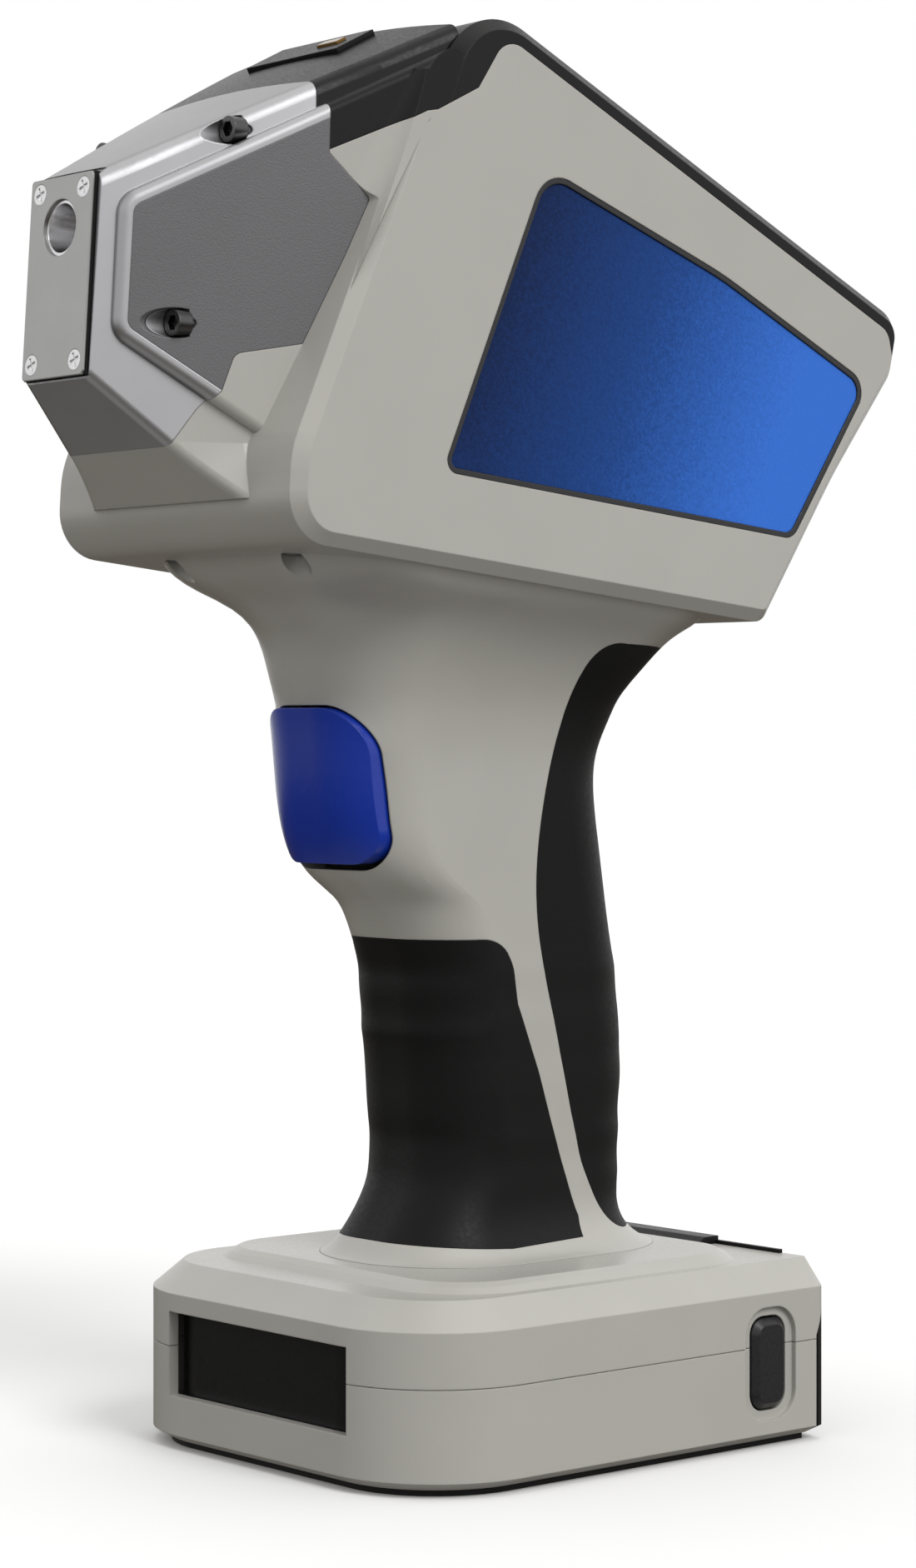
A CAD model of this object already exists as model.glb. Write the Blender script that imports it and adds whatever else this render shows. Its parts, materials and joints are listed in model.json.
"""Looks of the handheld XRF analyzer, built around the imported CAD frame. Metres, +Z up, nose towards -Y."""
import json
from math import cos, pi, radians, sin

import bpy
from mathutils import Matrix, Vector


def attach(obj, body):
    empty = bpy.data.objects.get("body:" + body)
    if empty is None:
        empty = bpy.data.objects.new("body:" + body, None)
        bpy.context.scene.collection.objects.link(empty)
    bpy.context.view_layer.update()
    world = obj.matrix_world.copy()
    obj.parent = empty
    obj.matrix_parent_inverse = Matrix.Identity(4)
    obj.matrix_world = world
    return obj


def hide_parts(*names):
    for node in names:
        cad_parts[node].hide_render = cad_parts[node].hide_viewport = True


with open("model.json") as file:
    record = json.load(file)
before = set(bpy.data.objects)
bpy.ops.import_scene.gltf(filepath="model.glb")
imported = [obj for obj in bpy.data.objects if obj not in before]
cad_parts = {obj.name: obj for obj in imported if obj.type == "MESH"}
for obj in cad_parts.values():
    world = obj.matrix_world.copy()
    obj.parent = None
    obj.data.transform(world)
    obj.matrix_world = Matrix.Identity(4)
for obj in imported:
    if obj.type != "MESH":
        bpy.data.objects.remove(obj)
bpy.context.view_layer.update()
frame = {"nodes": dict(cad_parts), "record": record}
NODES = frame["nodes"]

# ------------------------------------------------------------ colours, linear
GREY = (0.378, 0.369, 0.340)
BLACK = (0.0055, 0.0055, 0.006)
RUBBER = (0.0045, 0.0045, 0.0046)
TRIGGER_BLUE = (0.009, 0.033, 0.31)
CASTING = (0.37, 0.37, 0.38)
INLAY = (0.125, 0.125, 0.13)
PLATE = (0.36, 0.36, 0.355)
STEEL = (0.70, 0.70, 0.71)
DARK_STEEL = (0.10, 0.10, 0.102)
LABEL_DARK = (0.003, 0.014, 0.066)
LABEL_MIDDLE = (0.009, 0.05, 0.22)
LABEL_LIGHT = (0.034, 0.15, 0.60)
LATCH = (0.014, 0.014, 0.015)
LABEL_RIM = (0.012, 0.012, 0.014)
COLLIMATOR = (0.70, 0.70, 0.71)
FILM = (0.35, 0.22, 0.05)
GLASS = (0.010, 0.011, 0.013)
DISPLAY = (0.008, 0.008, 0.010)
BOARD = (0.012, 0.09, 0.04)
BATTERY = (0.006, 0.006, 0.0063)
CONTACT = (0.65, 0.48, 0.18)
INNER_METAL = (0.50, 0.50, 0.51)
LENS = (0.16, 0.085, 0.015)
WIRE = (0.02, 0.02, 0.02)
PAPER = (0.78, 0.78, 0.78)
WHITE = (1.0, 1.0, 1.0)
CROWN = (0.75, 0.75, 0.74)
GROUND_GLOW = (0.075, 0.058, 0.035)
FLOOR_GLOW = (0.52, 0.51, 0.50)
WARM_LIGHT = (1.0, 0.985, 0.95)

# ------------------------------------------------------------ sizes and places
EDGE_RADIUS = 0.00035
EDGE_SAMPLES = 4
LABEL_FRONT = -0.03
LABEL_REAR = 0.075
LABEL_LOW = 0.176
LABEL_HIGH = 0.242
FLOOR_HALF = 6.0
SENSOR_WIDTH = 36.0
FOCAL_LENGTH = 83.48
CAMERA_SHIFT = -0.0324
CAMERA_PLACE = (0.5417, -0.466, 0.138)
LOOK = (-0.7593, 0.6508, 0.0)

# The light around the object, by height above the horizon.
DOME = [
    (-0.85, FLOOR_GLOW),
    (-0.45, GROUND_GLOW),
    (-0.14, GROUND_GLOW),
    (-0.03, WHITE),
    (0.45, WHITE),
    (1.0, CROWN),
]


# ------------------------------------------------------------ material helpers
class Surface:
    """A material with one principled shader and a few ways to give it life."""

    def __init__(self, name, color, roughness, metallic=0.0, **sockets):
        self.material = bpy.data.materials.new(name)
        self.material.use_nodes = True
        self.tree = self.material.node_tree
        self.shader = self.tree.nodes["Principled BSDF"]
        self.set("Base Color", (*color, 1.0))
        self.set("Roughness", roughness)
        self.set("Metallic", metallic)
        for key, value in sockets.items():
            self.set(key.replace("_", " "), value)
        self.coordinates = self.add("ShaderNodeTexCoord").outputs["Object"]
        edge = self.add("ShaderNodeBevel", Radius=EDGE_RADIUS)
        edge.samples = EDGE_SAMPLES
        self.normal = edge.outputs["Normal"]

    def add(self, kind, **inputs):
        node = self.tree.nodes.new(kind)
        for key, value in inputs.items():
            node.inputs[key.replace("_", " ")].default_value = value
        return node

    def link(self, output, target):
        self.tree.links.new(output, target)

    def set(self, socket, value):
        self.shader.inputs[socket].default_value = value

    def noise(self, scale, detail=3.0, roughness=0.5, stretch=None):
        """A noise value over the object, stretched along axes if asked."""
        node = self.add("ShaderNodeTexNoise", Scale=scale, Detail=detail, Roughness=roughness)
        source = self.coordinates
        if stretch:
            mapping = self.add("ShaderNodeMapping")
            mapping.inputs["Scale"].default_value = stretch
            self.link(source, mapping.inputs["Vector"])
            source = mapping.outputs["Vector"]
        self.link(source, node.inputs["Vector"])
        return node.outputs["Fac"]

    def ramp(self, value, stops):
        """A colour ramp over a value, from (place, colour) stops."""
        node = self.add("ShaderNodeValToRGB")
        elements = node.color_ramp.elements
        while len(elements) < len(stops):
            elements.new(0.5)
        for element, (place, color) in zip(elements, stops):
            element.position = place
            element.color = (*color, 1.0) if len(color) == 3 else color
        self.link(value, node.inputs["Fac"])
        return node.outputs["Color"]

    def vary_color(self, value, low, high, start=0.35, end=0.65):
        self.link(self.ramp(value, [(start, low), (end, high)]), self.shader.inputs["Base Color"])

    def vary_roughness(self, value, low, high):
        node = self.add("ShaderNodeMapRange", To_Min=low, To_Max=high)
        node.inputs["From Min"].default_value = 0.3
        node.inputs["From Max"].default_value = 0.7
        self.link(value, node.inputs["Value"])
        self.link(node.outputs["Result"], self.shader.inputs["Roughness"])

    def bump(self, value, distance, strength=1.0):
        node = self.add("ShaderNodeBump", Strength=strength, Distance=distance)
        self.link(value, node.inputs["Height"])
        self.link(self.normal, node.inputs["Normal"])
        self.normal = node.outputs["Normal"]
        self.link(self.normal, self.shader.inputs["Normal"])


def scaled(color, factor):
    return tuple(channel * factor for channel in color)


def moulded(name, color, roughness, grain, depth, **sockets):
    """Moulded plastic or rubber with a fine grain and a faint mottling."""
    surface = Surface(name, color, roughness, **sockets)
    surface.vary_color(surface.noise(60.0), scaled(color, 0.985), scaled(color, 1.015))
    surface.vary_roughness(surface.noise(grain, 2.0), roughness - 0.05, roughness + 0.06)
    surface.bump(surface.noise(grain, 2.0), depth)
    return surface


def metal(name, color, roughness, grain, depth, stretch=None):
    """Bare or finished metal with a fine blasted or brushed surface."""
    surface = Surface(name, color, roughness, metallic=1.0)
    surface.vary_color(surface.noise(90.0), scaled(color, 0.98), scaled(color, 1.02))
    surface.vary_roughness(surface.noise(grain, 3.0, stretch=stretch), roughness - 0.02, roughness + 0.03)
    surface.bump(surface.noise(grain, 3.0, stretch=stretch), depth)
    return surface


def label_surface():
    """The label's fine-grained print, navy at the front and bright blue towards the lower rear."""
    surface = Surface("label_print", LABEL_DARK, 0.4, Specular_IOR_Level=0.1)
    parts = surface.add("ShaderNodeSeparateXYZ")
    surface.link(surface.coordinates, parts.inputs["Vector"])
    run = surface.add("ShaderNodeMapRange")
    run.inputs["From Min"].default_value = LABEL_FRONT
    run.inputs["From Max"].default_value = LABEL_REAR
    surface.link(parts.outputs["Y"], run.inputs["Value"])
    fall = surface.add("ShaderNodeMapRange", To_Min=0.12, To_Max=-0.18)
    fall.inputs["From Min"].default_value = LABEL_LOW
    fall.inputs["From Max"].default_value = LABEL_HIGH
    surface.link(parts.outputs["Z"], fall.inputs["Value"])
    across = surface.add("ShaderNodeMath")
    surface.link(run.outputs["Result"], across.inputs[0])
    surface.link(fall.outputs["Result"], across.inputs[1])
    fine = surface.noise(1500.0, 4.0, 0.75)
    mix = surface.add("ShaderNodeMath")
    mix.operation = "MULTIPLY_ADD"
    mix.inputs[1].default_value = 0.45
    surface.link(fine, mix.inputs[0])
    surface.link(across.outputs["Value"], mix.inputs[2])
    color = surface.ramp(mix.outputs["Value"], [(0.22, LABEL_DARK), (0.6, LABEL_MIDDLE), (1.0, LABEL_LIGHT)])
    surface.link(color, surface.shader.inputs["Base Color"])
    surface.bump(fine, 0.00005)
    return surface


SLOTS = {
    "grey_plastic": moulded("grey_plastic", GREY, 0.36, 1500.0, 0.000005, Coat_Weight=0.2,
                            Coat_Roughness=0.2, Specular_IOR_Level=0.4),
    "black_plastic": moulded("black_plastic", BLACK, 0.38, 1500.0, 0.00001, Specular_IOR_Level=0.2),
    "grip_rubber": moulded("grip_rubber", RUBBER, 0.5, 1300.0, 0.00002, Specular_IOR_Level=0.16),
    "trigger_blue": moulded("trigger_blue", TRIGGER_BLUE, 0.2, 1400.0, 0.000002, Specular_IOR_Level=0.35),
    "latch_black": moulded("latch_black", LATCH, 0.3, 1500.0, 0.00001, Specular_IOR_Level=0.4),
    "casting": metal("casting", CASTING, 0.42, 2600.0, 0.0000002),
    "inlay": moulded("inlay", INLAY, 0.5, 3200.0, 0.00004, Metallic=0.6),
    "plate": metal("plate", PLATE, 0.36, 2600.0, 0.0000008),
    "steel": metal("steel", STEEL, 0.25, 900.0, 0.000006, (1.0, 1.0, 6.0)),
    "dark_steel": metal("dark_steel", DARK_STEEL, 0.3, 900.0, 0.00001),
    "gasket": moulded("gasket", RUBBER, 0.6, 1500.0, 0.00002, Specular_IOR_Level=0.2),
    "collimator": metal("collimator", COLLIMATOR, 0.2, 1200.0, 0.000005),
    "film": moulded("film", FILM, 0.15, 800.0, 0.000004),
    "glass": moulded("glass", GLASS, 0.05, 500.0, 0.000001, Coat_Weight=0.5),
    "display": moulded("display", DISPLAY, 0.2, 900.0, 0.000004),
    "board": moulded("board", BOARD, 0.4, 700.0, 0.00001),
    "label_blue": label_surface(),
    "label_rim": moulded("label_rim", LABEL_RIM, 0.25, 1200.0, 0.000004, Specular_IOR_Level=0.4),
    "battery": moulded("battery", BATTERY, 0.35, 1300.0, 0.00001, Specular_IOR_Level=0.15),
    "contact": metal("contact", CONTACT, 0.3, 900.0, 0.00001),
    "inner_metal": metal("inner_metal", INNER_METAL, 0.4, 900.0, 0.00001),
    "lens": moulded("lens", LENS, 0.12, 600.0, 0.000003, Specular_IOR_Level=0.4),
    "wire": moulded("wire", WIRE, 0.5, 900.0, 0.00002),
}

for part in frame["record"]["subparts"]:
    node = NODES[part["node"]]
    node.data.materials.clear()
    node.data.materials.append(SLOTS[part["material_slot"]].material)


# ------------------------------------------------------------ even handle
# The loft of the handle swings in and out between its sections. Each row takes out one swing:
# height, half span, then the moves of the front, the rear and the half width.
SWINGS = [
    (0.0555, 0.0060, -0.0004, -0.0005, -0.0002),
    (0.0710, 0.0100, 0.0006, 0.0014, 0.0004),
    (0.0850, 0.0080, 0.0, -0.0015, -0.0004),
    (0.0897, 0.0104, 0.0043, 0.0, 0.0),
    (0.1022, 0.0050, -0.0009, 0.0, 0.0),
]
FRONT_STILL = -0.0036
FRONT_MOVED = -0.010
REAR_STILL = 0.0128
REAR_MOVED = 0.0185
HANDLE_HALF_WIDTH = 0.0175
HANDLE_NODES = ("main_housing", "front_grip", "rear_grip")


def handle_moves(height):
    """How far front, rear and half width move at a height, and how fast each changes with height."""
    moves = [0.0, 0.0, 0.0]
    slopes = [0.0, 0.0, 0.0]
    for centre, span, *sizes in SWINGS:
        place = (height - centre) / span
        if abs(place) >= 1.0:
            continue
        for index, size in enumerate(sizes):
            moves[index] += size * (1.0 + cos(pi * place)) / 2.0
            slopes[index] -= size * sin(pi * place) * pi / span / 2.0
    return moves, slopes


def share_between(y, still, moved):
    """How much of a move reaches a depth, from none at one to all at the other, and its slope."""
    share = (y - still) / (moved - still)
    if 0.0 < share < 1.0:
        return share, 1.0 / (moved - still)
    return min(max(share, 0.0), 1.0), 0.0


def moved_place(place):
    """A point of the handle moved to its even line."""
    (front, rear, side), _ = handle_moves(place.z)
    front_share, _ = share_between(place.y, FRONT_STILL, FRONT_MOVED)
    rear_share, _ = share_between(place.y, REAR_STILL, REAR_MOVED)
    across = place.x / HANDLE_HALF_WIDTH
    return Vector((place.x + across * side, place.y + front_share * front + rear_share * rear, place.z))


def turned_normal(place, normal):
    """The normal at a point of the handle, turned as the move of the points around it turns it."""
    (front, rear, side), (front_slope, rear_slope, side_slope) = handle_moves(place.z)
    front_share, front_pull = share_between(place.y, FRONT_STILL, FRONT_MOVED)
    rear_share, rear_pull = share_between(place.y, REAR_STILL, REAR_MOVED)
    widening = place.x / HANDLE_HALF_WIDTH * side_slope
    rise = front_share * front_slope + rear_share * rear_slope
    turn_x = normal.x / (1.0 + side / HANDLE_HALF_WIDTH)
    turn_y = normal.y / (1.0 + front_pull * front + rear_pull * rear)
    turned = Vector((turn_x, turn_y, normal.z - widening * turn_x - rise * turn_y))
    return turned.normalized()


def add_even_copy(part):
    """A copy of a handle node with the loft's swings taken out, which stands for the node."""
    node = NODES[part["node"]]
    mesh = node.data.copy()
    mesh.name = part["node"] + "_even"
    places = [vertex.co.copy() for vertex in mesh.vertices]
    normals = [corner.vector.copy() for corner in mesh.corner_normals]
    turned = [turned_normal(places[loop.vertex_index], normal) for loop, normal in zip(mesh.loops, normals)]
    for vertex, place in zip(mesh.vertices, places):
        vertex.co = moved_place(place)
    mesh.normals_split_custom_set(turned)
    piece = bpy.data.objects.new(mesh.name, mesh)
    bpy.context.scene.collection.objects.link(piece)
    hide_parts(part["node"])
    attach(piece, "analyzer")


for part in frame["record"]["subparts"]:
    if part["node"] in HANDLE_NODES:
        add_even_copy(part)


# ------------------------------------------------------------ studio
def add_sun(name, strength, towards, spread, color=WHITE):
    """A broad soft light from a direction; spread is its angle in degrees."""
    data = bpy.data.lights.new(name, "SUN")
    data.energy = strength
    data.angle = radians(spread)
    data.color = color
    light = bpy.data.objects.new(name, data)
    light.rotation_euler = Vector(towards).to_track_quat("Z", "Y").to_euler()
    bpy.context.scene.collection.objects.link(light)


def add_floor():
    """White paper under the object, which shows its shadow and lights nothing."""
    half = FLOOR_HALF
    corners = [(-half, -half, 0), (half, -half, 0), (half, half, 0), (-half, half, 0)]
    mesh = bpy.data.meshes.new("floor")
    mesh.from_pydata(corners, [], [(0, 1, 2, 3)])
    floor = bpy.data.objects.new("floor", mesh)
    bpy.context.scene.collection.objects.link(floor)
    surface = Surface("floor_paper", PAPER, 0.8, Specular_IOR_Level=0.1)
    surface.vary_color(surface.noise(3.0), scaled(PAPER, 0.99), scaled(PAPER, 1.01))
    mesh.materials.append(surface.material)
    floor.visible_diffuse = False
    floor.visible_glossy = False


def add_world():
    """A white dome over a dark warm ground that brightens again straight below."""
    world = bpy.data.worlds.new("studio")
    world.use_nodes = True
    tree = world.node_tree
    coordinates = tree.nodes.new("ShaderNodeTexCoord")
    parts = tree.nodes.new("ShaderNodeSeparateXYZ")
    height = tree.nodes.new("ShaderNodeMapRange")
    height.inputs["From Min"].default_value = -1.0
    ramp = tree.nodes.new("ShaderNodeValToRGB")
    while len(ramp.color_ramp.elements) < len(DOME):
        ramp.color_ramp.elements.new(0.5)
    for element, (rise, color) in zip(ramp.color_ramp.elements, DOME):
        element.position = (rise + 1.0) / 2.0
        element.color = (*color, 1.0)
    tree.links.new(coordinates.outputs["Generated"], parts.inputs["Vector"])
    tree.links.new(parts.outputs["Z"], height.inputs["Value"])
    tree.links.new(height.outputs["Result"], ramp.inputs["Fac"])
    tree.links.new(ramp.outputs["Color"], tree.nodes["Background"].inputs["Color"])
    bpy.context.scene.world = world


def add_camera():
    """A level camera that sees the nose and the +X side."""
    data = bpy.data.cameras.new("camera")
    data.sensor_width = SENSOR_WIDTH
    data.lens = FOCAL_LENGTH
    data.shift_y = CAMERA_SHIFT
    camera = bpy.data.objects.new("camera", data)
    camera.location = CAMERA_PLACE
    camera.rotation_euler = Vector(LOOK).to_track_quat("-Z", "Y").to_euler()
    bpy.context.scene.collection.objects.link(camera)
    bpy.context.scene.camera = camera


bpy.context.scene.view_settings.view_transform = "Standard"
add_floor()
add_world()
add_sun("key", 1.7, (0.75, 0.0, 0.65), 28)
add_sun("top", 0.5, (0.0, 0.1, 1.0), 50, WARM_LIGHT)
add_camera()
